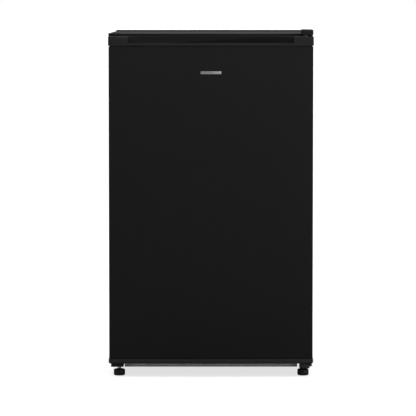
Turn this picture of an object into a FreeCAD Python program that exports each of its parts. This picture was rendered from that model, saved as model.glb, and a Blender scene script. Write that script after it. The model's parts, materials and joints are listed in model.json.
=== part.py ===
import FreeCAD, Part
import math
import os
from FreeCAD import Vector

os.makedirs("parts", exist_ok=True)

# A counter-height one-door refrigerator, in millimetres.
# +Z is up, the door faces -Y and its hinge is on the +X side.
# The origin is on the floor, under the middle of the whole object.

# Overall size
overall_depth = 540.0
worktop_width = 505.0
worktop_top = 845.0
worktop_height = 28.0
cabinet_width = 500.0
cap_width = 503.5
skin_width = 501.0

# Door
door_front = -overall_depth / 2
door_bow = 5.0
door_back = -228.0
door_low = 33.0
bottom_cap_height = 13.0
top_cap_height = 24.0
door_high = 837.0
skin_sheet = 1.0
skin_setback = 0.5
cap_neck = 1.6
neck_inset = 3.0
liner_sheet = 1.5
liner_half_width = 236.0
dyke_half_width = 200.0
dyke_width = 20.0
dyke_low = 80.0
dyke_high = 775.0
dyke_face = -190.0
gasket_width = 17.0
gasket_half_width = 227.0
gasket_gap = 0.4

# Grip recess in the top cap
grip_half_width = 203.0
grip_deep_half_width = 165.0
grip_lip_top = 821.5
grip_shelf = 817.5
grip_back = -240.0
grip_lip_back = -262.0
grip_floor = 803.0
grip_wall = 2.5

# Hinge line
hinge_x = 228.0
hinge_y = -245.0
pin_radius = 4.0
running_clearance = 0.05
bush_radius = 7.0

# Cabinet
cabinet_front = -213.0
cabinet_back = 204.0
cabinet_low = 30.0
cabinet_high = worktop_top - worktop_height
side_sheet = 1.2
front_sheet = 1.5
base_sheet = 1.5
steel_flange_from = 214.0
cavity_half_width = 210.0
cavity_floor = 70.0
cavity_ceiling = 785.0
cavity_back = 162.0
cavity_corner = 12.0
step_front = 60.0
step_top = 235.0
step_chamfer = 20.0
bay_front = 95.0
bay_ceiling = 200.0
panel_back = 235.0
rail_low = 19.0
liner_thickness = 2.0

# Shelves and drawer
shelf_levels = {"crisper": 240.0, "lower": 425.0, "upper": 600.0}
ledge_levels = (240.0, 332.0, 425.0, 512.0, 600.0)
ledge_reach = 8.0
glass_thickness = 4.0
glass_half_width = 207.0
glass_front = -100.0
glass_back = 155.0

# Feet
foot_y = -225.0
foot_x = {"left": -226.5, "right": 228.0}
foot_pad_height = 17.5
foot_pad_radius = 14.0
stud_radius = 4.0
stud_top = 31.8
rear_foot_x = 210.0
rear_foot_y = 215.0

# Front corner covers on the worktop
corner_cover_width = 27.0
corner_cover_depth = 64.0
corner_pocket_floor = 833.0
worktop_front = -214.5
worktop_rear_rim = 3.5
worktop_rim_depth = 10.0

# Badge on the door
badge_half_width = 25.5
badge_z = (745.5, 752.5)

# Balconies and flap on the inside of the door
balcony_floors = {"lower": dyke_low + dyke_width, "middle": 350.0, "upper": 600.0}
balcony_heights = {"lower": 100.0, "middle": 62.0, "upper": 40.0}
balcony_half_width = 178.0
balcony_face = -138.0
balcony_back = -225.5
balcony_wall = 2.5
flap_y = -200.0
flap_z = 680.0
flap_pivot_radius = 3.0
flap_reach = 60.0
flap_drop = 35.0

# Top hinge and its cover
hinge_plate_z = (840.5, 843.5)
hinge_cover_x = (223.0, 251.0)
hinge_cover_front = -257.0
hinge_cover_top = 854.0
top_screw_places = ((236.0, -200.0), (236.0, -182.0), (236.0, -164.0))

# Thermostat housing, lamp and door switch
housing_x = (164.0, cavity_half_width)
housing_y = (-75.0, 45.0)
housing_z = (690.0, 772.0)
housing_wall = 2.0
knob_y = 15.0
knob_z = 731.0
knob_radius = 16.0
knob_height = 12.0
lamp_y = (-68.0, -18.0)
lamp_z = (704.0, 758.0)
switch_x = 133.0
switch_z = 766.0
plunger_radius = 3.5
plunger_tip = dyke_face + 0.3

# Compressor, its grommets and the condenser coil
compressor_x = -20.0
compressor_y = 172.0
compressor_radius = 62.0
grommet_places = [
    (compressor_x + dx, compressor_y + dy) for dx in (-75.0, 75.0) for dy in (-42.0, 42.0)
]
coil_y = 245.0
coil_half_width = 195.0
coil_low = 260.0
coil_pitch = 50.0
coil_passes = 11
coil_tube_radius = 2.5
wire_radius = 0.9
wire_count = 27

# Values that follow from the ones above
skin_z = (door_low + bottom_cap_height, door_high - top_cap_height)
skin_half = skin_width / 2
cap_half = cap_width / 2
skin_front = door_front + skin_setback
bush_floor = 820.0

X_AXIS = Vector(1, 0, 0)
Y_AXIS = Vector(0, 1, 0)
Z_AXIS = Vector(0, 0, 1)


def save(name, shape):
    """Writes one sub-part to its own file."""
    shape = shape.removeSplitter() if len(shape.Solids) == 1 else shape
    print(name, "valid" if shape.isValid() else "INVALID", len(shape.Solids), round(shape.Volume / 1000, 1))
    shape.exportStep("parts/" + name + ".step")


def box(x, y, z):
    """A block from (low, high) pairs."""
    return Part.makeBox(x[1] - x[0], y[1] - y[0], z[1] - z[0], Vector(x[0], y[0], z[0]))


def rod(radius, start, end):
    """A cylinder between two points."""
    start = Vector(*start)
    run = Vector(*end) - start
    return Part.makeCylinder(radius, run.Length, start, run)


def pipe(outer, inner, start, end):
    """A cylinder with a bore."""
    return rod(outer, start, end).cut(rod(inner, start, end))


def is_along(edge, axis):
    """True for a straight edge parallel to the axis."""
    if not isinstance(edge.Curve, Part.Line):
        return False
    run = edge.Vertexes[1].Point - edge.Vertexes[0].Point
    return abs(abs(run.normalize().dot(axis)) - 1) < 1e-6


def round_along(shape, radius, axis):
    """Rounds every straight edge parallel to the axis."""
    return shape.makeFillet(radius, [edge for edge in shape.Edges if is_along(edge, axis)])


def round_at_height(shape, radius, height):
    """Rounds the edges that lie wholly at one height."""
    edges = []
    for edge in shape.Edges:
        if all(abs(v.Z - height) < 1e-6 for v in edge.Vertexes):
            edges.append(edge)
    return shape.makeFillet(radius, edges)


def soft_box(x, y, z, radius, axis=Z_AXIS):
    """A block whose edges along one axis are rounded."""
    return round_along(box(x, y, z), radius, axis)


def prism(corners, run):
    """A closed polygon pushed along a vector."""
    points = [Vector(*corner) for corner in corners]
    return Part.Face(Part.makePolygon(points + points[:1])).extrude(Vector(*run))


def mirrored(shape):
    """The same shape on the other side of the middle plane."""
    return shape.mirror(Vector(0, 0, 0), X_AXIS)


def both_sides(shape):
    """The shape and its mirror image, as two solids in one group."""
    return Part.makeCompound([shape, mirrored(shape)])


def tube(points, radius, bend):
    """A round bar along straight runs joined by tangent arcs."""
    points = [Vector(*point) for point in points]
    edges = []
    here = points[0]
    for before, corner, after in zip(points, points[1:], points[2:]):
        into = (corner - before).normalize()
        out = (after - corner).normalize()
        reach = bend * math.tan(into.getAngle(out) / 2)
        start = corner - into * reach
        end = corner + out * reach
        centre = start + (out - into * into.dot(out)).normalize() * bend
        middle = centre + (corner - centre).normalize() * bend
        if (start - here).Length > 1e-4:
            edges.append(Part.LineSegment(here, start).toShape())
        edges.append(Part.Arc(start, middle, end).toShape())
        here = end
    edges.append(Part.LineSegment(here, points[-1]).toShape())
    path = Part.Wire(edges)
    section = Part.Wire([Part.makeCircle(radius, points[0], points[1] - points[0])])
    return path.makePipeShell([section], True, False)


def door_block(half_width, front, back, z, corner):
    """A slab whose front bulges by the door's bow and whose front side corners are rounded."""
    side = front + door_bow
    left = Vector(-half_width, side, z[0])
    right = Vector(half_width, side, z[0])
    right_back = Vector(half_width, back, z[0])
    left_back = Vector(-half_width, back, z[0])
    edges = [
        Part.Arc(left, Vector(0, front, z[0]), right).toShape(),
        Part.LineSegment(right, right_back).toShape(),
        Part.LineSegment(right_back, left_back).toShape(),
        Part.LineSegment(left_back, left).toShape(),
    ]
    solid = Part.Face(Part.Wire(edges)).extrude(Vector(0, 0, z[1] - z[0]))
    fronts = [e for e in solid.Edges if is_along(e, Z_AXIS) and abs(e.Vertexes[0].Y - side) < 1e-6]
    return solid.makeFillet(corner, fronts)


def frame_ring(half_width, y, z, width):
    """A rectangular ring that stands in the XZ plane."""
    outer = box((-half_width, half_width), y, z)
    inner_half = half_width - width
    return outer.cut(box((-inner_half, inner_half), (y[0] - 1, y[1] + 1), (z[0] + width, z[1] - width)))


def open_box(x, y, z, wall, corner):
    """A tray with rounded upright corners, open at the top."""
    outer = soft_box(x, y, z, corner)
    hollow = soft_box(
        (x[0] + wall, x[1] - wall), (y[0] + wall, y[1] - wall), (z[0] + wall, z[1] + 1), corner - wall
    )
    return outer.cut(hollow)


# ---------------------------------------------------------------- door


def make_door_skin():
    """Bowed sheet-steel front with side returns and flanges folded in behind the foam."""
    outer = door_block(skin_half, skin_front, door_back, skin_z, 3.0)
    inner = door_block(skin_half - skin_sheet, skin_front + skin_sheet, door_back + 5, skin_z, 2.0)
    return outer.cut(inner).fuse(door_flanges())


def door_flanges():
    """Strips at the back of the skin's sides."""
    strip = box((liner_half_width - 2, skin_half - skin_sheet), (door_back - skin_sheet, door_back), skin_z)
    return both_sides(strip)


def dyke_ring(inset):
    """The raised rim on the door's inner face. An inset gives its foam core."""
    y = (door_back - 0.1 if inset else door_back + liner_sheet, dyke_face - inset)
    z = (dyke_low + inset, dyke_high - inset)
    ring = frame_ring(dyke_half_width - inset, y, z, dyke_width - 2 * inset)
    if inset:
        return ring
    edges = []
    for edge in ring.Edges:
        if all(abs(v.Y - dyke_face) < 1e-6 for v in edge.Vertexes):
            edges.append(edge)
    return ring.makeFillet(4.0, edges)


def make_door_liner():
    """White inner skin of the door, with the raised rim, balcony ledges and flap pivot holes."""
    sheet = soft_box(
        (-liner_half_width, liner_half_width),
        (door_back, door_back + liner_sheet),
        skin_z,
        3.0,
        Y_AXIS,
    )
    liner = sheet.fuse(dyke_ring(0)).cut(dyke_ring(liner_sheet + 1.5))
    rim_inner = dyke_half_width - dyke_width
    for floor in balcony_floors.values():
        if floor > dyke_low + dyke_width + 5:
            ledge = box((rim_inner - 7, rim_inner + 1), (-222, -196), (floor - 6, floor))
            liner = liner.fuse(ledge).fuse(mirrored(ledge))
    radius = flap_pivot_radius + running_clearance
    hole = rod(radius, (rim_inner - 1, flap_y, flap_z), (rim_inner + 2.9, flap_y, flap_z))
    return liner.cut(hole).cut(mirrored(hole))


def make_door_foam():
    """Foam that fills the skin, the rim and the space round the grip pocket."""
    block = door_block(skin_half - skin_sheet, skin_front + skin_sheet, door_back, skin_z, 2.0)
    foam = block.cut(door_flanges()).fuse(dyke_ring(liner_sheet + 1.5))
    foam = foam.cut(grip_pocket())
    return foam


def grip_pocket():
    """Outside of the finger pocket that hangs below the top cap."""
    return box(
        (-grip_deep_half_width, grip_deep_half_width),
        (grip_lip_back - grip_wall, grip_back + grip_wall),
        (grip_floor - grip_wall, skin_z[1] + cap_neck),
    )


def make_top_cap():
    """Moulded top of the door, with the finger recess and the seat of the top bush."""
    low = skin_z[1]
    cap = door_block(cap_half, door_front, door_back, (low + cap_neck, door_high), 4.0)
    cap = round_at_height(cap, 1.2, door_high)
    neck = door_block(skin_half - neck_inset, skin_front + neck_inset, door_back, (low, low + cap_neck), 2.0)
    cap = cap.fuse(neck).fuse(grip_pocket())
    mouth = box(
        (-grip_half_width, grip_half_width), (door_front - 5, grip_lip_back), (grip_lip_top, door_high + 5)
    )
    trough = prism(
        [
            (-grip_half_width, grip_lip_back, grip_shelf),
            (grip_half_width, grip_lip_back, grip_shelf),
            (grip_deep_half_width, grip_back, grip_shelf),
            (-grip_deep_half_width, grip_back, grip_shelf),
        ],
        (0, 0, door_high + 5 - grip_shelf),
    )
    pocket_half = grip_deep_half_width - grip_wall
    pocket = soft_box(
        (-pocket_half, pocket_half), (grip_lip_back, grip_back), (grip_floor, grip_lip_top + 1), 5.0
    )
    cap = cap.cut(mouth).cut(trough).cut(pocket)
    return cap.cut(rod(bush_radius, (hinge_x, hinge_y, bush_floor), (hinge_x, hinge_y, door_high + 1)))


def make_bottom_cap():
    """Moulded bottom of the door, with the seat of the bottom bush."""
    high = skin_z[0]
    cap = door_block(cap_half, door_front, door_back, (door_low, high - cap_neck), 4.0)
    cap = round_at_height(cap, 4.0, door_low)
    z = (high - cap_neck, high)
    neck = door_block(skin_half - neck_inset, skin_front + neck_inset, door_back, z, 2.0)
    seat = rod(bush_radius, (hinge_x, hinge_y, door_low - 1), (hinge_x, hinge_y, high + 1))
    return cap.fuse(neck).cut(seat)


def make_bushes():
    """The two plastic bushes that turn on the hinge pins. The lower one has a washer under the door."""
    bore = pin_radius + running_clearance
    top = pipe(bush_radius, bore, (hinge_x, hinge_y, bush_floor), (hinge_x, hinge_y, door_high))
    low = pipe(bush_radius, bore, (hinge_x, hinge_y, door_low), (hinge_x, hinge_y, skin_z[0]))
    washer = pipe(9.0, bore, (hinge_x, hinge_y, cabinet_low + 0.3), (hinge_x, hinge_y, door_low))
    return Part.makeCompound([top, low.fuse(washer)])


def make_gasket():
    """Magnetic seal: a broad foot, a narrow bellows and a flat sealing head."""
    z = (cavity_floor - gasket_width, cavity_ceiling + gasket_width)
    back = cabinet_front - gasket_gap
    front = door_back + liner_sheet
    foot = frame_ring(gasket_half_width, (front, front + 4), z, gasket_width)
    neck_z = (z[0] + 4, z[1] - 4)
    neck = frame_ring(gasket_half_width - 4, (front + 4, back - 4), neck_z, gasket_width - 8)
    head = frame_ring(gasket_half_width, (back - 4, back), z, gasket_width)
    return foot.fuse(neck).fuse(head)


def make_badge():
    """Small blank plate on the door."""
    plate = box((-badge_half_width, badge_half_width), (skin_front - 0.4, skin_front + 3.0), badge_z)
    plate = round_along(plate, 2.0, Y_AXIS)
    return plate.cut(door_block(skin_half, skin_front, door_back, (700.0, 800.0), 3.0))


def make_balcony(name):
    """Door shelf with a rolled top edge on the side that faces the cabinet."""
    floor = balcony_floors[name]
    top = floor + balcony_heights[name]
    half = balcony_half_width
    tray = open_box((-half, half), (balcony_back, balcony_face), (floor, top), balcony_wall, 8.0)
    roll = rod(3.0, (-half + 10, balcony_face - 1.5, top), (half - 10, balcony_face - 1.5, top))
    return tray.fuse(roll)


def make_flap():
    """Lid of the dairy compartment, on two pivots in the door's rim."""
    half = balcony_half_width
    wall = balcony_wall
    face = flap_y + flap_reach
    low = flap_z - flap_drop
    corners = [
        (-half, flap_y - 4, flap_z + 4),
        (-half, face - 12, flap_z + 4),
        (-half, face, flap_z - 8),
        (-half, face, low),
        (-half, face - wall, low),
        (-half, face - wall, flap_z - 9),
        (-half, face - 13, flap_z + 4 - wall),
        (-half, flap_y - 4, flap_z + 4 - wall),
    ]
    flap = prism(corners, (2 * half, 0, 0))
    cheek = prism(
        [
            (-half, flap_y - 4, flap_z + 2),
            (-half, face - 13, flap_z + 2),
            (-half, face - wall, flap_z - 9),
            (-half, face - wall, low),
            (-half, face - 14, low),
            (-half, flap_y - 4, flap_z - 5),
        ],
        (wall, 0, 0),
    )
    pivot = rod(flap_pivot_radius, (half - 3, flap_y, flap_z), (half + 4.5, flap_y, flap_z))
    flap = flap.fuse(cheek).fuse(mirrored(cheek)).fuse(pivot).fuse(mirrored(pivot))
    grip = box((-30, 30), (face - 1, face + 5), (low, low + 3))
    return flap.fuse(grip)


def build_door():
    save("door_skin", make_door_skin())
    save("door_foam", make_door_foam())
    save("door_liner", make_door_liner())
    save("door_top_cap", make_top_cap())
    save("door_bottom_cap", make_bottom_cap())
    save("door_bushes", make_bushes())
    save("door_gasket", make_gasket())
    save("badge_plate", make_badge())
    for name in balcony_floors:
        save("balcony_" + name, make_balcony(name))
    save("dairy_flap", make_flap())


# ------------------------------------------------------------- cabinet


def cavity(grow):
    """The inside of the cabinet. Growing it gives the outside of the liner."""
    floor = cavity_floor - grow
    back = cavity_back + grow
    ceiling = cavity_ceiling + grow
    half = cavity_half_width + grow
    front = cabinet_front - 20
    step_y = step_front + grow
    step_z = step_top - grow
    chamfer = step_chamfer - grow * (2 - math.sqrt(2))
    corners = [
        (-half, front, floor),
        (-half, step_y, floor),
        (-half, step_y, step_z - chamfer),
        (-half, step_y + chamfer, step_z),
        (-half, back, step_z),
        (-half, back, ceiling),
        (-half, front, ceiling),
    ]
    block = prism(corners, (2 * half, 0, 0))
    rounded = []
    for edge in block.Edges:
        if not is_along(edge, Y_AXIS):
            continue
        if abs(edge.Vertexes[0].Z - floor) < 1e-6 or abs(edge.Vertexes[0].Z - ceiling) < 1e-6:
            rounded.append(edge)
    return block.makeFillet(cavity_corner + grow, rounded)


def make_liner():
    """White moulded inside of the cabinet, with shelf ledges and a front flange."""
    shell = cavity(liner_thickness).cut(cavity(0))
    front = box((-300, 300), (cabinet_front - 50, cabinet_front), (0, 900))
    shell = shell.cut(front)
    flange_half = steel_flange_from
    flange = box(
        (-flange_half, flange_half),
        (cabinet_front, cabinet_front + front_sheet),
        (cavity_floor - 4, cavity_ceiling + 4),
    ).cut(cavity(0))
    liner = shell.fuse(flange)
    for level in ledge_levels:
        ledge = box(
            (cavity_half_width - ledge_reach, cavity_half_width + 1), (-88, 143), (level - 8, level)
        )
        ledge = ledge.makeFillet(
            3.0, [e for e in ledge.Edges if is_along(e, Y_AXIS) and e.Vertexes[0].X < cavity_half_width - 1]
        )
        ledge = ledge.common(cavity(liner_thickness))
        liner = liner.fuse(ledge).fuse(mirrored(ledge))
    return liner


def make_foam():
    """Foam between the outer panels and the liner, with the machine bay left free."""
    half = cabinet_width / 2 - side_sheet
    block = box(
        (-half, half),
        (cabinet_front + front_sheet, cabinet_back),
        (cabinet_low + base_sheet, cabinet_high),
    )
    bay = box((-300, 300), (bay_front, 400), (0, bay_ceiling))
    foam = block.cut(bay).cut(cavity(liner_thickness))
    return foam.cut(make_evaporator())


def make_evaporator():
    """Aluminium plate that cools the back wall of the liner from behind."""
    y = cavity_back + liner_thickness
    return box((-150, 150), (y, y + 3), (300, 700))


def make_side_panel():
    """Right-hand outer panel, with a front return that the gasket's magnet holds."""
    half = cabinet_width / 2
    side = box((half - side_sheet, half), (cabinet_front, panel_back), (cabinet_low, cabinet_high))
    y = (cabinet_front, cabinet_front + front_sheet)
    turn = box((steel_flange_from, half), y, (cabinet_low, cabinet_high))
    return side.fuse(turn)


def make_top_front_rail():
    """Steel strip over the door opening, between the two panels' returns."""
    x = (-steel_flange_from, steel_flange_from)
    web = box(x, (cabinet_front, cabinet_front + front_sheet), (cavity_ceiling + 4, cabinet_high))
    return web


def make_bottom_front_rail():
    """Zinc-coated rail under the door opening, folded back at its lower edge."""
    x = (-steel_flange_from, steel_flange_from)
    web = box(x, (cabinet_front, cabinet_front + front_sheet), (rail_low, cavity_floor - 4))
    fold = box(x, (cabinet_front, cabinet_front + 18), (rail_low, rail_low + 1.5))
    return web.fuse(fold)


def make_base_plate():
    """Steel floor of the cabinet, in front of the machine bay."""
    half = cabinet_width / 2 - side_sheet
    plate = box((-half, half), (cabinet_front + front_sheet, bay_front), (cabinet_low, cabinet_low + base_sheet))
    wall = box((-half, half), (bay_front - base_sheet, bay_front), (cabinet_low, cabinet_low + 12))
    return plate.fuse(wall.cut(box((-300, 300), (0, 400), (cabinet_low + base_sheet, 99))))


def make_back_panel():
    """Outer back, one folded sheet: down the back, forward over the machine bay, and down its front wall."""
    half = cabinet_width / 2 - side_sheet
    x = (-half, half)
    back = box(x, (cabinet_back, cabinet_back + 1.0), (bay_ceiling - 1.0, cabinet_high))
    ceiling = box(x, (bay_front, cabinet_back + 1.0), (bay_ceiling - 1.0, bay_ceiling))
    wall = box(x, (bay_front, bay_front + 1.0), (cabinet_low, bay_ceiling))
    return back.fuse(ceiling).fuse(wall)


def make_worktop():
    """Moulded top: a shell with a low rim at the rear and a pocket at each front corner."""
    half = worktop_width / 2
    rear = overall_depth / 2
    z = (cabinet_high, worktop_top)
    outer = soft_box((-half, half), (worktop_front, rear), z, 4.0)
    outer = round_at_height(outer, 3.0, worktop_top)
    rim_top = worktop_top + worktop_rear_rim
    rim = box((-half + 4, half - 4), (rear - worktop_rim_depth, rear - 3), (worktop_top - 2, rim_top))
    rim = round_at_height(rim, 1.0, rim_top)
    outer = outer.fuse(rim)
    hollow = box((-half + 4, half - 4), (worktop_front + 4, rear - 4), (z[0] - 1, worktop_top - 4))
    top = outer.cut(hollow)
    for x in (-120, 0, 120):
        rib = box((x - 1.5, x + 1.5), (worktop_front + 3, rear - 3), (z[0], worktop_top - 3))
        top = top.fuse(rib)
    pocket = box(
        (half - corner_cover_width - 0.5, half + 1),
        (worktop_front - 1, worktop_front + corner_cover_depth + 0.5),
        (corner_pocket_floor, worktop_top + 1),
    )
    seat = box(
        (half - corner_cover_width - 4, half - 4),
        (worktop_front + 3, worktop_front + corner_cover_depth + 4),
        (corner_pocket_floor - 3, worktop_top - 3),
    )
    top = top.fuse(seat).fuse(mirrored(seat))
    return top.cut(pocket).cut(mirrored(pocket))


def make_blank_cover():
    """Flush cover over the unused hinge seat at the left front corner."""
    half = worktop_width / 2
    cover = box(
        (-half, -half + corner_cover_width),
        (worktop_front, worktop_front + corner_cover_depth),
        (corner_pocket_floor, worktop_top),
    )
    corner = [
        e for e in cover.Edges if is_along(e, Z_AXIS) and e.Vertexes[0].X < -half + 1 and e.Vertexes[0].Y < -214
    ]
    cover = cover.makeFillet(4.0, corner)
    cover = round_at_height(cover, 1.0, worktop_top)
    inside = box(
        (-half + 2, -half + corner_cover_width - 2),
        (worktop_front + 2, worktop_front + corner_cover_depth - 2),
        (corner_pocket_floor - 1, worktop_top - 2),
    )
    return cover.cut(inside)


def make_top_hinge_plate():
    """Steel plate from the worktop's corner pocket out over the door."""
    arm = soft_box((226.5, 248.0), (hinge_y - 7, -152.0), hinge_plate_z, 5.0)
    nose = rod(7.0, (hinge_x + 4, hinge_y, hinge_plate_z[0]), (hinge_x + 4, hinge_y, hinge_plate_z[1]))
    plate = arm.fuse(nose)
    plate = plate.cut(rod(pin_radius, (hinge_x, hinge_y, 830), (hinge_x, hinge_y, 850)))
    for x_screw, y_screw in top_screw_places:
        plate = plate.cut(rod(2.6, (x_screw, y_screw, 830), (x_screw, y_screw, 850)))
    return plate


def make_top_hinge_pin():
    """Pin that hangs from the top hinge plate into the door's upper bush."""
    return rod(pin_radius, (hinge_x, hinge_y, bush_floor + 2.0), (hinge_x, hinge_y, hinge_plate_z[1]))


def make_screw(place, low, high, head_radius, head_height, up):
    """A pan-head screw along Z. The head sits above the shank when up is true, else below it."""
    x, y = place
    shank = rod(2.4, (x, y, low), (x, y, high))
    head_z = (high, high + head_height) if up else (low - head_height, low)
    head = rod(head_radius, (x, y, head_z[0]), (x, y, head_z[1]))
    outer_z = head_z[1] if up else head_z[0]
    head = round_at_height(head, head_height * 0.6, outer_z)
    slot_z = (outer_z - 1.2, outer_z + 1) if up else (outer_z - 1, outer_z + 1.2)
    slot = box((x - 2.5, x + 2.5), (y - 0.5, y + 0.5), slot_z)
    cross = box((x - 0.5, x + 0.5), (y - 2.5, y + 2.5), slot_z)
    return shank.fuse(head).cut(slot).cut(cross)


def make_hinge_cover():
    """Rounded cover over the top hinge, with a small boss over the pin."""
    x = hinge_cover_x
    y = (hinge_cover_front, worktop_front + corner_cover_depth)
    cover = soft_box(x, y, (841.5, hinge_cover_top), 4.0)
    cover = round_at_height(cover, 2.5, hinge_cover_top)
    boss = rod(4.5, (hinge_x + 0.5, hinge_y, 848.0), (hinge_x + 0.5, hinge_y, hinge_cover_top + 1.0))
    boss = round_at_height(boss, 0.9, hinge_cover_top + 1.0)
    hollow = box((x[0] + 2, x[1] - 2), (y[0] + 2, y[1] - 2), (840, hinge_cover_top - 2.5))
    skirt = box((225.5, x[1]), (worktop_front, y[1]), (corner_pocket_floor, 842.0))
    skirt = skirt.cut(box((227.5, x[1] - 2), (worktop_front - 1, y[1] - 2), (0, 900)))
    cover = cover.fuse(boss).cut(hollow).fuse(skirt)
    return cover.cut(make_worktop()).cut(make_top_hinge_plate()).cut(make_top_hinge_pin())


def make_bottom_bracket():
    """Steel bracket that carries the lower hinge pin and the right foot."""
    plate = soft_box((219.0, 249.0), (-257.0, -150.0), (25.0, cabinet_low), 5.0)
    boss = soft_box((219.0, 244.0), (-240.0, -207.0), (18.2, 25.0), 3.0)
    bracket = plate.fuse(boss)
    bracket = bracket.cut(rod(pin_radius, (hinge_x, hinge_y, 0), (hinge_x, hinge_y, 60)))
    bracket = bracket.cut(stud_hole("right"))
    for place in bottom_screw_places("right"):
        bracket = bracket.cut(rod(2.6, (*place, 0), (*place, 60)))
    return bracket


def make_left_bracket():
    """Block that carries the left foot."""
    bracket = soft_box((-247.0, -216.0), (-240.0, -150.0), (21.8, cabinet_low), 4.0)
    bracket = bracket.cut(stud_hole("left"))
    for place in bottom_screw_places("left"):
        bracket = bracket.cut(rod(2.6, (*place, 0), (*place, 60)))
    return bracket


def stud_hole(side):
    """Clearance for a foot's stud."""
    x = foot_x[side]
    return rod(stud_radius + running_clearance, (x, foot_y, 0), (x, foot_y, 60))


def bottom_screw_places(side):
    """Screw positions of a bottom bracket."""
    x = 234.0 if side == "right" else -231.5
    return [(x, y) for y in (-192.0, -177.0, -162.0)]


def make_bracket_screws():
    """Screws that hold both bottom brackets to the base plate, from below."""
    screws = []
    for side, low in (("right", 25.0), ("left", 21.8)):
        for place in bottom_screw_places(side):
            screws.append(make_screw(place, low, cabinet_low, 4.5, 2.5, False))
    return Part.makeCompound(screws)


def make_foot_pad(side):
    """Round plastic pad with chamfered rims and a short cone at its neck."""
    x = foot_x[side]
    pad = Part.makeCylinder(foot_pad_radius, foot_pad_height - 2.0, Vector(x, foot_y, 0))
    pad = pad.makeChamfer(2.0, [e for e in pad.Edges if not is_along(e, Z_AXIS)])
    neck = Part.makeCone(8.0, 5.0, 2.0, Vector(x, foot_y, foot_pad_height - 2.0))
    grips = []
    for index in range(12):
        angle = 2 * math.pi * index / 12
        gx = x + (foot_pad_radius + 0.6) * math.cos(angle)
        gy = foot_y + (foot_pad_radius + 0.6) * math.sin(angle)
        grips.append(rod(1.3, (gx, gy, 3.0), (gx, gy, foot_pad_height - 5.0)))
    pad = pad.fuse(neck).cut(Part.makeCompound(grips))
    return pad.cut(rod(stud_radius, (x, foot_y, 6.0), (x, foot_y, 40.0)))


def make_foot_stud(side):
    """Steel stud that screws up and down in the bracket, drawn plain."""
    x = foot_x[side]
    stud = rod(stud_radius, (x, foot_y, 6.0), (x, foot_y, stud_top))
    return stud.makeChamfer(0.8, [stud.Edges[0], stud.Edges[2]])


def make_rear_feet():
    """Fixed plastic feet under the machine bay."""
    foot = Part.makeCone(13.0, 17.0, cabinet_low, Vector(rear_foot_x, rear_foot_y, 0))
    return both_sides(foot)


def build_cabinet():
    right_panel = make_side_panel()
    save("side_panel_right", right_panel)
    save("side_panel_left", mirrored(right_panel))
    save("back_panel", make_back_panel())
    save("base_plate", make_base_plate())
    save("top_front_rail", make_top_front_rail())
    save("bottom_front_rail", make_bottom_front_rail())
    save("insulation_foam", make_foam())
    save("inner_liner", make_liner())
    save("evaporator_plate", make_evaporator())
    save("worktop", make_worktop())
    save("hinge_blank_cover", make_blank_cover())
    save("hinge_cover", make_hinge_cover())
    save("top_hinge_plate", make_top_hinge_plate())
    save("top_hinge_pin", make_top_hinge_pin())
    screws = [make_screw(place, 833.5, hinge_plate_z[1], 4.0, 2.5, True) for place in top_screw_places]
    save("top_hinge_screws", Part.makeCompound(screws))
    save("bottom_hinge_bracket", make_bottom_bracket())
    pin_high = skin_z[0] - 0.5
    save("bottom_hinge_pin", rod(pin_radius, (hinge_x, hinge_y, 25.0), (hinge_x, hinge_y, pin_high)))
    save("left_foot_bracket", make_left_bracket())
    save("bottom_bracket_screws", make_bracket_screws())
    save("rear_feet", make_rear_feet())
    for side in ("left", "right"):
        save("foot_pad_" + side, make_foot_pad(side))
        save("foot_stud_" + side, make_foot_stud(side))


# -------------------------------------------------------------- inside


def make_housing():
    """Thermostat and lamp housing on the right-hand wall, open towards the wall."""
    outer = round_along(box(housing_x, housing_y, housing_z), 6.0, X_AXIS)
    outer = outer.makeFillet(
        3.0, [e for e in outer.Edges if all(abs(v.X - housing_x[0]) < 1e-6 for v in e.Vertexes)]
    )
    wall = housing_wall
    hollow = box(
        (housing_x[0] + wall, housing_x[1] + 1),
        (housing_y[0] + wall, housing_y[1] - wall),
        (housing_z[0] + wall, housing_z[1] - wall),
    )
    window = box((housing_x[0] - 1, housing_x[0] + 4), (lamp_y[0] + 4, lamp_y[1] - 4), (lamp_z[0] + 4, lamp_z[1] - 4))
    shaft = rod(3.0 + running_clearance, (housing_x[0] - 1, knob_y, knob_z), (housing_x[0] + 4, knob_y, knob_z))
    return outer.cut(hollow).cut(window).cut(shaft)


def make_lamp_cover():
    """Clear ribbed lens over the lamp window."""
    x = (housing_x[0] - 7.0, housing_x[0])
    cover = round_along(box(x, lamp_y, lamp_z), 4.0, X_AXIS)
    hollow = box((x[0] + 1.5, x[1] + 1), (lamp_y[0] + 2, lamp_y[1] - 2), (lamp_z[0] + 2, lamp_z[1] - 2))
    cover = cover.cut(hollow)
    for index in range(8):
        y = lamp_y[0] + 6 + index * 5.4
        cover = cover.cut(box((x[0] - 1, x[0] + 0.5), (y, y + 2.2), (lamp_z[0] + 5, lamp_z[1] - 5)))
    return cover


def make_bulb():
    """Small lamp inside the housing, with its cap and holder."""
    centre = (187.0, -46.0, 731.0)
    globe = Part.makeSphere(11.0, Vector(*centre))
    neck = rod(7.0, (centre[0], centre[1] + 8, centre[2]), (centre[0], centre[1] + 24, centre[2]))
    holder = rod(10.0, (centre[0], centre[1] + 24, centre[2]), (centre[0], centre[1] + 42, centre[2]))
    return globe.fuse(neck).fuse(holder)


def make_knob():
    """Thermostat knob with a grip bar and its shaft."""
    x = (housing_x[0] - 0.3 - knob_height, housing_x[0] - 0.3)
    disc = rod(knob_radius, (x[0] + 7, knob_y, knob_z), (x[1], knob_y, knob_z))
    disc = disc.makeFillet(1.5, [disc.Edges[2]])
    bar = round_along(box((x[0], x[0] + 8), (knob_y - 3, knob_y + 3), (knob_z - 13, knob_z + 13)), 2.5, X_AXIS)
    shaft = rod(3.0, (x[1] - 1, knob_y, knob_z), (housing_x[0] + 10, knob_y, knob_z))
    return disc.fuse(bar).fuse(shaft)


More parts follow.
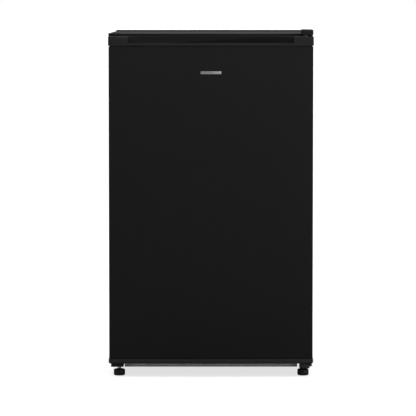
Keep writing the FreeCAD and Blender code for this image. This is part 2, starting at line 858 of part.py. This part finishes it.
def make_switch_body():
    """Lamp switch housing under the front of the ceiling."""
    body = box((switch_x - 13, switch_x + 13), (-184, -150), (switch_z - 9, cavity_ceiling))
    body = body.makeFillet(2.0, [e for e in body.Edges if is_along(e, Y_AXIS) and e.Vertexes[0].Z < 770])
    bore = plunger_radius + running_clearance
    return body.cut(rod(bore, (switch_x, -190, switch_z), (switch_x, -156, switch_z)))


def make_plunger():
    """Button that the closed door holds in."""
    plunger = rod(plunger_radius, (switch_x, plunger_tip, switch_z), (switch_x, -166, switch_z))
    tip = [e for e in plunger.Edges if all(abs(v.Y - plunger_tip) < 1e-6 for v in e.Vertexes)]
    return plunger.makeFillet(1.2, tip)


def make_shelf_glass(level):
    """Tempered glass plate that lies on two ledges."""
    plate = box((-glass_half_width, glass_half_width), (glass_front, glass_back), (level, level + glass_thickness))
    return round_along(plate, 3.0, Z_AXIS)


def make_shelf_trims(level):
    """The two alike clip-on profiles at a shelf's front and back edge."""
    trims = []
    for y in ((glass_front - 6, glass_front + 8), (glass_back - 8, glass_back + 4)):
        trim = box((-glass_half_width, glass_half_width), y, (level - 3, level + 9))
        trim = round_along(trim, 1.8, X_AXIS)
        trims.append(trim.cut(make_shelf_glass(level)))
    return Part.makeCompound(trims)


def make_crisper():
    """Drawer for fruit and vegetables, with a lip to pull it by."""
    x = (-192.0, 192.0)
    y = (-94.0, 50.0)
    z = (74.0, 226.0)
    tray = open_box(x, y, z, 2.5, 14.0)
    front = soft_box((-194.0, 194.0), (-98.0, -94.0), (74.0, 228.0), 4.0, Y_AXIS)
    lip = round_along(box((-70.0, 70.0), (-106.0, -97.0), (208.0, 213.0)), 1.5, X_AXIS)
    rim = frame_rim((-194.0, 194.0), (-95.0, 52.0), (223.5, 226.0), 5.0)
    return tray.fuse(front).fuse(lip).fuse(rim)


def frame_rim(x, y, z, width):
    """A flat ring that lies level."""
    inner = box((x[0] + width, x[1] - width), (y[0] + width, y[1] - width), (z[0] - 1, z[1] + 1))
    return box(x, y, z).cut(inner)


def build_inside():
    save("thermostat_housing", make_housing())
    save("thermostat_knob", make_knob())
    save("lamp_cover", make_lamp_cover())
    save("lamp_bulb", make_bulb())
    save("door_switch_body", make_switch_body())
    save("door_switch_plunger", make_plunger())
    for name, level in shelf_levels.items():
        save("shelf_glass_" + name, make_shelf_glass(level))
        save("shelf_trims_" + name, make_shelf_trims(level))
    save("crisper_drawer", make_crisper())


# ------------------------------------------------- refrigerating machine


def make_compressor_rail():
    """Steel cross-member under the machine bay, with folded edges."""
    half = cabinet_width / 2 - side_sheet
    plate = box((-half, half), (118.0, 233.0), (cabinet_low, cabinet_low + 2))
    for y in ((118.0, 120.0), (231.0, 233.0)):
        plate = plate.fuse(box((-half, half), y, (cabinet_low, cabinet_low + 14)))
    return plate


def make_compressor():
    """Welded steel pot with its seam and its mounting legs."""
    pot = Part.makeCylinder(compressor_radius, 118.0, Vector(compressor_x, compressor_y, 46.0))
    pot = pot.makeFillet(28.0, [e for e in pot.Edges if not is_along(e, Z_AXIS)])
    seam = Part.makeCylinder(compressor_radius + 2, 4.0, Vector(compressor_x, compressor_y, 100.0))
    legs = soft_box(
        (compressor_x - 86, compressor_x + 86), (compressor_y - 50, compressor_y + 50), (44.0, 47.0), 10.0
    )
    legs = legs.cut(
        soft_box(
            (compressor_x - 55, compressor_x + 55), (compressor_y - 60, compressor_y - 44), (40.0, 50.0), 4.0
        )
    )
    shell = pot.fuse(seam).fuse(legs)
    for x, y in grommet_places:
        shell = shell.cut(rod(5.0, (x, y, 40.0), (x, y, 50.0)))
    return shell


def make_grommets():
    """Four rubber mounts between the rail and the compressor's legs."""
    grommets = []
    for x, y in grommet_places:
        foot = rod(9.0, (x, y, cabinet_low + 2), (x, y, 44.0))
        stem = rod(5.0, (x, y, 44.0), (x, y, 47.0))
        head = rod(7.5, (x, y, 47.0), (x, y, 50.5))
        grommets.append(foot.fuse(stem).fuse(head))
    return Part.makeCompound(grommets)


def make_relay_box():
    """Electrical box on the compressor's side."""
    x = (compressor_x + compressor_radius + 2.5, compressor_x + compressor_radius + 40)
    cover = box(x, (150.0, 200.0), (72.0, 132.0))
    return cover.makeFillet(4.0, [e for e in cover.Edges if e.Vertexes[0].X > x[0] + 1 and e.Vertexes[-1].X > x[0] + 1])


def make_gland():
    """Collar where a mains cord enters the relay box."""
    x = compressor_x + compressor_radius + 40
    collar = pipe(8.0, 4.0, (x, 175.0, 88.0), (x + 6, 175.0, 88.0))
    nut = pipe(6.5, 4.0, (x + 6, 175.0, 88.0), (x + 14, 175.0, 88.0))
    return collar.fuse(nut)


def make_condenser_tube():
    """Serpentine tube on the back, with a tail down to the compressor."""
    points = [(coil_half_width, coil_y, 150.0)]
    for index in range(coil_passes):
        z = coil_low + index * coil_pitch
        ends = (coil_half_width, -coil_half_width)
        if index % 2:
            ends = ends[::-1]
        points.append((ends[0], coil_y, z))
        points.append((ends[1], coil_y, z))
    return tube(points, coil_tube_radius, coil_pitch / 2)


def make_condenser_wires():
    """Upright wires welded across the tube's runs."""
    top = coil_low + (coil_passes - 1) * coil_pitch + 12
    span = 2 * (coil_half_width - 32)
    y = coil_y + coil_tube_radius + wire_radius
    wires = []
    for index in range(wire_count):
        x = -span / 2 + span * index / (wire_count - 1)
        wires.append(rod(wire_radius, (x, y, coil_low - 12), (x, y, top)))
    return Part.makeCompound(wires)


def make_condenser_clips():
    """Four spacers that hold the condenser off the back panel."""
    clips = []
    for x in (-150.0, 150.0):
        for z in (coil_low, coil_low + (coil_passes - 1) * coil_pitch):
            post = box((x - 6, x + 6), (cabinet_back + 1, coil_y + 1.5), (z - 8, z + 8))
            clips.append(post.cut(rod(coil_tube_radius, (x - 10, coil_y, z), (x + 10, coil_y, z))))
    return Part.makeCompound(clips)


def make_filter_drier():
    """Copper drier at the end of the condenser's tail."""
    x, y = coil_half_width, coil_y
    body = rod(9.0, (x, y, 80.0), (x, y, 140.0))
    body = body.makeChamfer(5.0, [body.Edges[0], body.Edges[2]])
    return body.fuse(rod(3.2, (x, y, 140.0), (x, y, 150.0)))


def make_suction_tube():
    """Return tube from the bay's front wall to the compressor."""
    points = [
        (-130.0, bay_front + 1.0, 150.0),
        (-130.0, compressor_y, 150.0),
        (-130.0, compressor_y, 86.0),
        (compressor_x - compressor_radius, compressor_y, 86.0),
    ]
    return tube(points, 4.0, 16.0)


def make_drain_tray():
    """Tray on top of the compressor where defrost water dries off."""
    return open_box((compressor_x - 70, compressor_x + 70), (112.0, 226.0), (164.2, 188.0), 2.0, 14.0)


def build_machine():
    save("compressor_rail", make_compressor_rail())
    save("compressor_shell", make_compressor())
    save("compressor_grommets", make_grommets())
    save("relay_box", make_relay_box())
    save("mains_gland", make_gland())
    save("condenser_tube", make_condenser_tube())
    save("condenser_wires", make_condenser_wires())
    save("condenser_clips", make_condenser_clips())
    save("filter_drier", make_filter_drier())
    save("suction_tube", make_suction_tube())
    save("drain_tray", make_drain_tray())


build_door()
build_cabinet()
build_inside()
build_machine()
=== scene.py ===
import json
import math

import bmesh
import bpy
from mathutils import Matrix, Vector


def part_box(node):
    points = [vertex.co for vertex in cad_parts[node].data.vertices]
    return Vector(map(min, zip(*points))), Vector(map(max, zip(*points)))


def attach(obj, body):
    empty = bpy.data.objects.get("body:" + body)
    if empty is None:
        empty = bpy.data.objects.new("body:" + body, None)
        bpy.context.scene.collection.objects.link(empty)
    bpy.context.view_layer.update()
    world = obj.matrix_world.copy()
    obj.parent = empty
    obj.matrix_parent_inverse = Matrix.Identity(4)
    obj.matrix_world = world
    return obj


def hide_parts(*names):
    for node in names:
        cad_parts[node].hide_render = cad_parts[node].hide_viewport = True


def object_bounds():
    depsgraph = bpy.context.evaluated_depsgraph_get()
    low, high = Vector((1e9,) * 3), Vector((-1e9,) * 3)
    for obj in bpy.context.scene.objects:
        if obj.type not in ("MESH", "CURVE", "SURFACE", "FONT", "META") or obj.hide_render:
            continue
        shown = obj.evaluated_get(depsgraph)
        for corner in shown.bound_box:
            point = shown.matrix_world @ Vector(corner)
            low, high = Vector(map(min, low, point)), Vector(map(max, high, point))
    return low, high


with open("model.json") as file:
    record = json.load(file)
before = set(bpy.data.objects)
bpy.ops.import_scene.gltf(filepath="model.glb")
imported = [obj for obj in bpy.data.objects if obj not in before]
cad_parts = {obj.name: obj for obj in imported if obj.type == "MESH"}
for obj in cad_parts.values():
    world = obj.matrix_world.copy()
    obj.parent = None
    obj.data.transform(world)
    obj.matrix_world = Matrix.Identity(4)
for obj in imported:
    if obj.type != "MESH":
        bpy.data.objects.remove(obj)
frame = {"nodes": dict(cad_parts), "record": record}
cad_low, cad_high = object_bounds()
nodes = frame["nodes"]

# ------------------------------------------------------- driving numbers

# Camera
camera_distance = 7.0
camera_over_worktop = 0.070
pixels_per_metre = 408.0
frame_pixels = 416.0
sensor_width = 36.0
shift_x = -0.0070
shift_y = -0.0096

# Light and floor
overhead_strength = 2.45
overhead_spread = math.radians(70)
fill_place = (2.2, -2.4, 0.95)
fill_aim = (0, -0.27, 0.4)
fill_power = 23.0
fill_wide = 2.2
fill_high = 1.6
room_low = 0.06
room_high = 1.0
floor_reach = 120.0
floor_glow = 0.72
floor_shown = 0.34
floor_returned = 0.36

# Painted shade: how far each darker patch reaches from the edges of its piece
recess_front = 0.0078
recess_back = 0.0315
recess_half = 0.2035
recess_below_top = 0.0008
rim_depth = 0.0105
rim_height = 0.0033

# Softened pieces
smooth_angle = math.radians(32)
merge_distance = 0.00001
flat_angle = math.radians(0.4)

# Gasket
gasket_width = 0.017

# Dots round the thermostat knob
scale_radius = 0.0215
scale_dots = 7
scale_sweep = math.radians(270)
dot_sides = 14
dot_smallest = 0.0006
dot_growth = 0.00012
dot_height = 0.0004

# ------------------------------------------------------------------ camera


def make_camera():
    """A long lens in front of the door, a little above the worktop, looking slightly down."""
    door_front = cad_low.y
    worktop_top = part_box("worktop")[1].z
    middle = cad_high.z / 2
    place = Vector((0.0, door_front - camera_distance, worktop_top + camera_over_worktop))
    aim = Vector((0.0, door_front, middle))
    data = bpy.data.cameras.new("camera")
    camera = bpy.data.objects.new("camera", data)
    bpy.context.scene.collection.objects.link(camera)
    camera.location = place
    camera.rotation_mode = "QUATERNION"
    camera.rotation_quaternion = (aim - place).to_track_quat("-Z", "Y")
    data.sensor_width = sensor_width
    data.lens = pixels_per_metre * (aim - place).length * sensor_width / frame_pixels
    data.shift_x = shift_x
    data.shift_y = shift_y
    data.clip_start = 0.1
    data.clip_end = 300.0
    bpy.context.scene.camera = camera


# ---------------------------------------------------------------- node help


def link(tree, output, socket):
    tree.links.new(output, socket)


def add_node(tree, kind, **settings):
    """A shader node with its properties and its numbered or named inputs set."""
    node = tree.nodes.new(kind)
    for name, value in settings.items():
        if name == "inputs":
            for key, number in value.items():
                node.inputs[key].default_value = number
        else:
            setattr(node, name, value)
    return node


def noise(tree, coordinate, scale, detail=2.0, roughness=0.5):
    """Noise in object space. The scale is in repeats per metre."""
    inputs = {"Scale": scale, "Detail": detail, "Roughness": roughness}
    node = add_node(tree, "ShaderNodeTexNoise", inputs=inputs)
    link(tree, coordinate, node.inputs["Vector"])
    return node.outputs["Fac"]


def spread(tree, value, low, high, to_low, to_high):
    """Maps a value from one range to another, held inside it."""
    node = add_node(
        tree,
        "ShaderNodeMapRange",
        inputs={"From Min": low, "From Max": high, "To Min": to_low, "To Max": to_high},
    )
    link(tree, value, node.inputs["Value"])
    return node.outputs["Result"]


def mixed(tree, factor, first, second):
    """A colour between two colours."""
    node = add_node(tree, "ShaderNodeMix", data_type="RGBA")
    link(tree, factor, node.inputs["Factor"])
    node.inputs[6].default_value = (*first, 1.0)
    node.inputs[7].default_value = (*second, 1.0)
    return node.outputs[2]


def bump(tree, height, distance, strength=1.0):
    """A bump whose height is in metres."""
    node = add_node(tree, "ShaderNodeBump", inputs={"Strength": strength, "Distance": distance})
    link(tree, height, node.inputs["Height"])
    return node.outputs["Normal"]


def new_material(name):
    """An empty node material: its tree, its shader and the object coordinate."""
    material = bpy.data.materials.new(name)
    material.use_nodes = True
    tree = material.node_tree
    tree.nodes.clear()
    output = tree.nodes.new("ShaderNodeOutputMaterial")
    shader = tree.nodes.new("ShaderNodeBsdfPrincipled")
    link(tree, shader.outputs["BSDF"], output.inputs["Surface"])
    coordinate = tree.nodes.new("ShaderNodeTexCoord").outputs["Object"]
    return material, tree, shader, coordinate


def shade(colour, factor):
    return tuple(channel * factor for channel in colour)


def moulded(name, colour, roughness, grain, grain_depth, **sockets):
    """Moulded or painted surface: fine grain, faint clouding of the colour and uneven gloss."""
    material, tree, shader, coordinate = new_material(name)
    fine = noise(tree, coordinate, grain, 3.0, 0.6)
    broad = noise(tree, coordinate, 9.0, 2.0)
    scuffs = noise(tree, coordinate, 60.0, 6.0, 0.7)
    link(tree, mixed(tree, broad, shade(colour, 0.93), shade(colour, 1.07)), shader.inputs["Base Color"])
    gloss = spread(tree, scuffs, 0.3, 0.7, roughness - 0.04, roughness + 0.05)
    link(tree, gloss, shader.inputs["Roughness"])
    link(tree, bump(tree, fine, grain_depth), shader.inputs["Normal"])
    for socket, value in sockets.items():
        shader.inputs[socket.replace("_", " ")].default_value = value
    return material


def brushed(name, colour, roughness, along, **sockets):
    """Bare or plated metal with fine drawn lines along one axis."""
    material, tree, shader, coordinate = new_material(name)
    stretch = add_node(tree, "ShaderNodeMapping")
    stretch.inputs["Scale"].default_value = tuple(14.0 if axis == along else 900.0 for axis in range(3))
    link(tree, coordinate, stretch.inputs["Vector"])
    lines = noise(tree, stretch.outputs["Vector"], 1.0, 3.0, 0.6)
    broad = noise(tree, coordinate, 25.0, 3.0)
    link(tree, mixed(tree, broad, shade(colour, 0.88), shade(colour, 1.08)), shader.inputs["Base Color"])
    gloss = spread(tree, lines, 0.25, 0.75, roughness - 0.07, roughness + 0.10)
    link(tree, gloss, shader.inputs["Roughness"])
    link(tree, bump(tree, lines, 0.00002), shader.inputs["Normal"])
    shader.inputs["Metallic"].default_value = 1.0
    for socket, value in sockets.items():
        shader.inputs[socket.replace("_", " ")].default_value = value
    return material


def spangled(name, colour, roughness):
    """Zinc-coated sheet with its crystal pattern."""
    material, tree, shader, coordinate = new_material(name)
    cells = add_node(tree, "ShaderNodeTexVoronoi", inputs={"Scale": 110.0, "Randomness": 1.0})
    link(tree, coordinate, cells.inputs["Vector"])
    tone = add_node(tree, "ShaderNodeRGBToBW")
    link(tree, cells.outputs["Color"], tone.inputs["Color"])
    cloud = noise(tree, coordinate, 30.0, 4.0)
    crystals = mixed(tree, tone.outputs["Val"], shade(colour, 0.84), shade(colour, 1.1))
    link(tree, crystals, shader.inputs["Base Color"])
    gloss = spread(tree, cloud, 0.3, 0.7, roughness - 0.06, roughness + 0.08)
    link(tree, gloss, shader.inputs["Roughness"])
    link(tree, bump(tree, cells.outputs["Distance"], 0.00002), shader.inputs["Normal"])
    shader.inputs["Metallic"].default_value = 0.85
    return material


def clear(name, colour, roughness, clearness, **sockets):
    """See-through moulding or glass with faint waviness."""
    material, tree, shader, coordinate = new_material(name)
    waves = noise(tree, coordinate, 40.0, 2.0)
    haze = noise(tree, coordinate, 300.0, 3.0)
    link(tree, mixed(tree, waves, shade(colour, 0.97), colour), shader.inputs["Base Color"])
    link(tree, spread(tree, haze, 0.3, 0.7, roughness, roughness + 0.04), shader.inputs["Roughness"])
    link(tree, bump(tree, waves, 0.0001, 0.3), shader.inputs["Normal"])
    shader.inputs["Transmission Weight"].default_value = clearness
    for socket, value in sockets.items():
        shader.inputs[socket.replace("_", " ")].default_value = value
    return material


def foam_material():
    """Cut rigid foam with open cells."""
    material, tree, shader, coordinate = new_material("foam")
    cells = add_node(tree, "ShaderNodeTexVoronoi", inputs={"Scale": 700.0})
    link(tree, coordinate, cells.inputs["Vector"])
    broad = noise(tree, coordinate, 20.0, 4.0)
    link(tree, mixed(tree, broad, (0.62, 0.50, 0.26), (0.74, 0.63, 0.38)), shader.inputs["Base Color"])
    link(tree, bump(tree, cells.outputs["Distance"], 0.0004), shader.inputs["Normal"])
    link(tree, spread(tree, broad, 0.3, 0.7, 0.85, 0.95), shader.inputs["Roughness"])
    return material


materials = {
    "black_textured_steel": moulded(
        "door_black", (0.0055, 0.0055, 0.0057), 0.64, 1500.0, 0.00008, Specular_IOR_Level=0.17
    ),
    "black_painted_steel": moulded(
        "panel_black", (0.0060, 0.0060, 0.0062), 0.52, 1500.0, 0.00006, Specular_IOR_Level=0.20
    ),
    "black_plastic": moulded(
        "cap_black", (0.0138, 0.0138, 0.0140), 0.55, 900.0, 0.00008, Specular_IOR_Level=0.21
    ),
    "worktop_plastic": moulded(
        "worktop_black", (0.0105, 0.0105, 0.0107), 0.58, 700.0, 0.0002, Specular_IOR_Level=0.20
    ),
    "foot_plastic": moulded(
        "foot_black", (0.0075, 0.0075, 0.0075), 0.42, 1200.0, 0.00003, Specular_IOR_Level=0.35
    ),
    "white_plastic": moulded(
        "liner_white", (0.87, 0.88, 0.88), 0.30, 160.0, 0.00004, Coat_Weight=0.15
    ),
    "knob_plastic": moulded("knob_grey", (0.50, 0.52, 0.54), 0.38, 500.0, 0.00003),
    "clear_plastic": clear("clear_tray", (0.965, 0.985, 0.99), 0.05, 0.96, IOR=1.45),
    "nylon": moulded("nylon_black", (0.014, 0.014, 0.014), 0.45, 500.0, 0.00003),
    "foam": foam_material(),
    "gasket_vinyl": moulded("gasket_grey", (0.030, 0.030, 0.032), 0.62, 800.0, 0.00006),
    "satin_metal": brushed("badge_metal", (0.42, 0.42, 0.43), 0.38, 0),
    "zinc_steel": spangled("zinc_sheet", (0.55, 0.56, 0.57), 0.50),
    "dark_steel": moulded("bracket_black", (0.012, 0.012, 0.012), 0.40, 900.0, 0.00005),
    "compressor_enamel": moulded(
        "compressor_black", (0.006, 0.006, 0.007), 0.22, 250.0, 0.00012, Coat_Weight=0.3
    ),
    "condenser_enamel": moulded("condenser_black", (0.008, 0.008, 0.009), 0.35, 400.0, 0.00008),
    "bare_aluminium": brushed("aluminium_sheet", (0.68, 0.69, 0.70), 0.35, 2),
    "copper": brushed("copper_tube", (0.72, 0.35, 0.20), 0.28, 2),
    "rubber": moulded("rubber_black", (0.012, 0.012, 0.012), 0.72, 600.0, 0.0001),
    "lamp_glass": clear("lamp_glass", (0.98, 0.97, 0.93), 0.02, 0.9, IOR=1.5),
    "shelf_glass": clear("shelf_glass", (0.93, 0.975, 0.96), 0.01, 1.0, IOR=1.50),
}
# Painted shade: a darker, rougher copy of the black plastics for faces where shade falls
painted_shade_black = moulded(
    "painted_shade_black", (0.0054, 0.0054, 0.0056), 0.75, 1400.0, 0.00012, Specular_IOR_Level=0.14
)
record = frame["record"]
slots = {part["node"]: part["material_slot"] for part in record["subparts"]}
bodies = {node: body for body, names in record["behaviour"]["bodies"].items() for node in names}


def dress(piece, slot_name):
    """Gives a piece one material in every slot."""
    if not piece.material_slots:
        piece.data.materials.append(materials[slot_name])
    for slot in piece.material_slots:
        slot.material = materials[slot_name]


# ---------------------------------------------------------- softened pieces


def soften(node, width):
    """A copy of a node's shape with flat faces merged and its sharp edges rounded off."""
    source = nodes[node].data
    work = bmesh.new()
    work.from_mesh(source)
    bmesh.ops.remove_doubles(work, verts=work.verts, dist=merge_distance)
    bmesh.ops.dissolve_limit(work, angle_limit=flat_angle, verts=work.verts, edges=work.edges)
    mesh = bpy.data.meshes.new("soft_" + node)
    work.to_mesh(mesh)
    work.free()
    piece = bpy.data.objects.new("soft_" + node, mesh)
    bpy.context.scene.collection.objects.link(piece)
    rounding = piece.modifiers.new("rounding", "BEVEL")
    rounding.width = width
    rounding.segments = 2
    rounding.limit_method = "ANGLE"
    rounding.angle_limit = smooth_angle
    rounding.use_clamp_overlap = True
    rounding.harden_normals = False
    apply_modifiers(piece)
    finish_piece(piece, node)
    return piece


def apply_modifiers(piece):
    """Bakes a piece's modifiers into its mesh."""
    graph = bpy.context.evaluated_depsgraph_get()
    mesh = bpy.data.meshes.new_from_object(piece.evaluated_get(graph))
    piece.modifiers.clear()
    piece.data = mesh


def shade_by_angle(mesh):
    mesh.polygons.foreach_set("use_smooth", [True] * len(mesh.polygons))
    mesh.set_sharp_from_angle(angle=smooth_angle)


def finish_piece(piece, node):
    """Smooth shading, material, body, and hides the node that the piece stands for."""
    shade_by_angle(piece.data)
    dress(piece, slots[node])
    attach(piece, bodies[node])
    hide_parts(node)


# Radius of the rounded edges of each piece that is redrawn
soft_edges = {
    "door_skin": 0.0004,
    "door_top_cap": 0.0007,
    "door_bottom_cap": 0.0007,
    "worktop": 0.0006,
    "hinge_blank_cover": 0.0004,
    "hinge_cover": 0.0004,
    "door_liner": 0.0012,
    "inner_liner": 0.0010,
    "evaporator_plate": 0.0006,
    "crisper_drawer": 0.0006,
    "dairy_flap": 0.0006,
    "balcony_lower": 0.0006,
    "balcony_middle": 0.0006,
    "balcony_upper": 0.0006,
    "thermostat_housing": 0.0012,
    "thermostat_knob": 0.0006,
    "shelf_trims_crisper": 0.0005,
    "shelf_trims_lower": 0.0005,
    "shelf_trims_upper": 0.0005,
    "side_panel_left": 0.0002,
    "side_panel_right": 0.0002,
    "top_front_rail": 0.0003,
    "bottom_front_rail": 0.0003,
    "left_foot_bracket": 0.0004,
    "bottom_hinge_bracket": 0.0004,
    "foot_pad_left": 0.0006,
    "foot_pad_right": 0.0006,
    "compressor_rail": 0.0004,
    "relay_box": 0.0008,
    "drain_tray": 0.0006,
    "badge_plate": 0.0003,
}
for name, width in soft_edges.items():
    soften(name, width)


def paint_shade(node, in_painted_shade):
    """Gives the faces whose middle passes the test painted shade: a darker black than the rest of the
    piece, also duller and with a coarser grain.
    """
    mesh = bpy.data.objects["soft_" + node].data
    mesh.materials.append(painted_shade_black)
    for face in mesh.polygons:
        if in_painted_shade(face.center):
            face.material_index = len(mesh.materials) - 1


cap_low, cap_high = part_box("door_top_cap")
top_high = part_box("worktop")[1]


def in_grip_recess(point):
    """Inside the finger recess of the door's top cap, where these faces get painted shade."""
    between = cap_low.y + recess_front < point.y < cap_low.y + recess_back
    return between and abs(point.x) < recess_half and point.z < cap_high.z - recess_below_top


def on_rear_rim(point):
    """On the raised rim along the worktop's rear edge, where these faces get painted shade."""
    return point.y > top_high.y - rim_depth and point.z > top_high.z - rim_height


# Painted shade inside the finger recess of the door's top cap
paint_shade("door_top_cap", in_grip_recess)
# Painted shade on the raised rim along the worktop's rear edge
paint_shade("worktop", on_rear_rim)

# ---------------------------------------------------------- magnetic gasket

# Half of the section, from its middle outwards: offset from the middle and height above the door,
# both as shares of the gasket's width and thickness.
gasket_section = [
    (0.30, 0.00),
    (0.30, 0.10),
    (0.16, 0.16),
    (0.16, 0.26),
    (0.42, 0.34),
    (0.46, 0.44),
    (0.42, 0.52),
    (0.34, 0.58),
    (0.47, 0.66),
    (0.50, 0.80),
    (0.45, 0.97),
    (0.30, 1.00),
]


def mesh_piece(name, points, faces):
    """A piece from points and faces, with its faces turned outwards."""
    mesh = bpy.data.meshes.new(name)
    mesh.from_pydata(points, [], faces)
    work = bmesh.new()
    work.from_mesh(mesh)
    bmesh.ops.recalc_face_normals(work, faces=work.faces)
    work.to_mesh(mesh)
    work.free()
    piece = bpy.data.objects.new(name, mesh)
    bpy.context.scene.collection.objects.link(piece)
    return piece


def make_gasket():
    """A hollow-looking bellows and magnet pocket that runs round the door in one closed frame."""
    low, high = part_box("door_gasket")
    depth = high.y - low.y
    outer = [(0.5 + u, v) for u, v in gasket_section]
    inner = [(0.5 - u, v) for u, v in reversed(gasket_section)]
    section = outer + inner
    points = []
    for side_x, side_z in ((-1, -1), (1, -1), (1, 1), (-1, 1)):
        for across, up in section:
            inset = across * gasket_width
            x = side_x * (high.x - inset)
            z = low.z + inset if side_z < 0 else high.z - inset
            points.append((x, low.y + up * depth, z))
    count = len(section)
    faces = []
    for corner in range(4):
        here = corner * count
        there = (corner + 1) % 4 * count
        for k in range(count):
            after = (k + 1) % count
            faces.append((here + k, here + after, there + after, there + k))
    finish_piece(mesh_piece("bellows_gasket", points, faces), "door_gasket")


make_gasket()

# ------------------------------------------------------- scale for the knob


def make_scale():
    """Raised dots round the thermostat knob that grow towards the cold end."""
    knob_low, knob_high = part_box("thermostat_knob")
    middle = (knob_low + knob_high) / 2
    face_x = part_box("thermostat_housing")[0].x
    points = []
    faces = []
    for dot in range(scale_dots):
        turn = scale_sweep * (dot / (scale_dots - 1) - 0.5)
        y = middle.y + scale_radius * math.sin(turn)
        z = middle.z + scale_radius * math.cos(turn)
        radius = dot_smallest + dot_growth * dot
        root = face_x + dot_height
        shoulder = face_x - dot_height / 2
        top = face_x - dot_height
        start = len(points)
        for x, size in ((root, radius), (shoulder, radius), (top, radius * 0.6)):
            for k in range(dot_sides):
                angle = 2 * math.pi * k / dot_sides
                points.append((x, y + size * math.cos(angle), z + size * math.sin(angle)))
        for ring in range(2):
            for k in range(dot_sides):
                a = start + ring * dot_sides + k
                b = start + ring * dot_sides + (k + 1) % dot_sides
                faces.append((a, b, b + dot_sides, a + dot_sides))
        faces.append(tuple(start + 2 * dot_sides + k for k in range(dot_sides)))
        faces.append(tuple(start + k for k in reversed(range(dot_sides))))
    piece = mesh_piece("thermostat_scale", points, faces)
    shade_by_angle(piece.data)
    dress(piece, "gasket_vinyl")
    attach(piece, "cabinet")


make_scale()

for name, node in nodes.items():
    if name not in soft_edges:
        dress(node, slots[name])


# ------------------------------------------------------------------- studio


def by_camera_ray(tree, seen, unseen):
    """One shader for what the camera sees directly, and another for every other ray."""
    rays = tree.nodes.new("ShaderNodeLightPath")
    choose = tree.nodes.new("ShaderNodeMixShader")
    link(tree, rays.outputs["Is Camera Ray"], choose.inputs["Fac"])
    link(tree, unseen, choose.inputs[1])
    link(tree, seen, choose.inputs[2])
    return choose.outputs["Shader"]


def grey(level):
    return (level, level, level, 1)


def make_floor():
    """A wide pale floor that throws less light back on the object than it shows."""
    mesh = bpy.data.meshes.new("floor")
    corners = [(x * floor_reach, y * floor_reach, 0) for x, y in ((-1, -1), (1, -1), (1, 1), (-1, 1))]
    mesh.from_pydata(corners, [], [(0, 1, 2, 3)])
    floor = bpy.data.objects.new("floor", mesh)
    bpy.context.scene.collection.objects.link(floor)
    material = bpy.data.materials.new("floor_pale")
    material.use_nodes = True
    tree = material.node_tree
    tree.nodes.clear()
    output = tree.nodes.new("ShaderNodeOutputMaterial")
    glow = add_node(tree, "ShaderNodeEmission", inputs={"Color": (1, 1, 1, 1), "Strength": floor_glow})
    pale = add_node(tree, "ShaderNodeBsdfDiffuse", inputs={"Color": grey(floor_shown)})
    lit = tree.nodes.new("ShaderNodeAddShader")
    link(tree, glow.outputs["Emission"], lit.inputs[0])
    link(tree, pale.outputs["BSDF"], lit.inputs[1])
    plain = add_node(tree, "ShaderNodeBsdfDiffuse", inputs={"Color": grey(floor_returned)})
    link(tree, by_camera_ray(tree, lit.outputs["Shader"], plain.outputs["BSDF"]), output.inputs["Surface"])
    mesh.materials.append(material)


def make_lamp(name, kind, place, aim, energy, **settings):
    """A lamp that stands at a place and points at another."""
    data = bpy.data.lights.new(name, kind)
    data.energy = energy
    for key, value in settings.items():
        setattr(data, key, value)
    lamp = bpy.data.objects.new(name, data)
    bpy.context.scene.collection.objects.link(lamp)
    lamp.location = place
    lamp.rotation_mode = "QUATERNION"
    lamp.rotation_quaternion = (Vector(aim) - Vector(place)).to_track_quat("-Z", "Y")
    return lamp


def make_room():
    """Even soft light that grows from the horizon to overhead. The camera sees plain white."""
    world = bpy.data.worlds.new("room")
    bpy.context.scene.world = world
    world.use_nodes = True
    tree = world.node_tree
    tree.nodes.clear()
    output = tree.nodes.new("ShaderNodeOutputWorld")
    split = tree.nodes.new("ShaderNodeSeparateXYZ")
    link(tree, tree.nodes.new("ShaderNodeTexCoord").outputs["Generated"], split.inputs["Vector"])
    height = spread(tree, split.outputs["Z"], 0.1, 1.0, room_low, room_high)
    dim = add_node(tree, "ShaderNodeBackground", inputs={"Color": (1, 1, 1, 1)})
    link(tree, height, dim.inputs["Strength"])
    bright = add_node(tree, "ShaderNodeBackground", inputs={"Color": (1, 1, 1, 1), "Strength": 1.0})
    room = by_camera_ray(tree, bright.outputs["Background"], dim.outputs["Background"])
    link(tree, room, output.inputs["Surface"])


def make_studio():
    """Soft light from straight above, a dim room and a fill from the upper right in front."""
    make_lamp("overhead", "SUN", (0, 0, 5), (0, 0, 0), overhead_strength, angle=overhead_spread)
    shape = {"shape": "RECTANGLE", "size": fill_wide, "size_y": fill_high}
    make_lamp("fill", "AREA", fill_place, fill_aim, fill_power, **shape)
    make_room()


make_camera()
make_floor()
make_studio()
bpy.context.scene.view_settings.view_transform = "Standard"
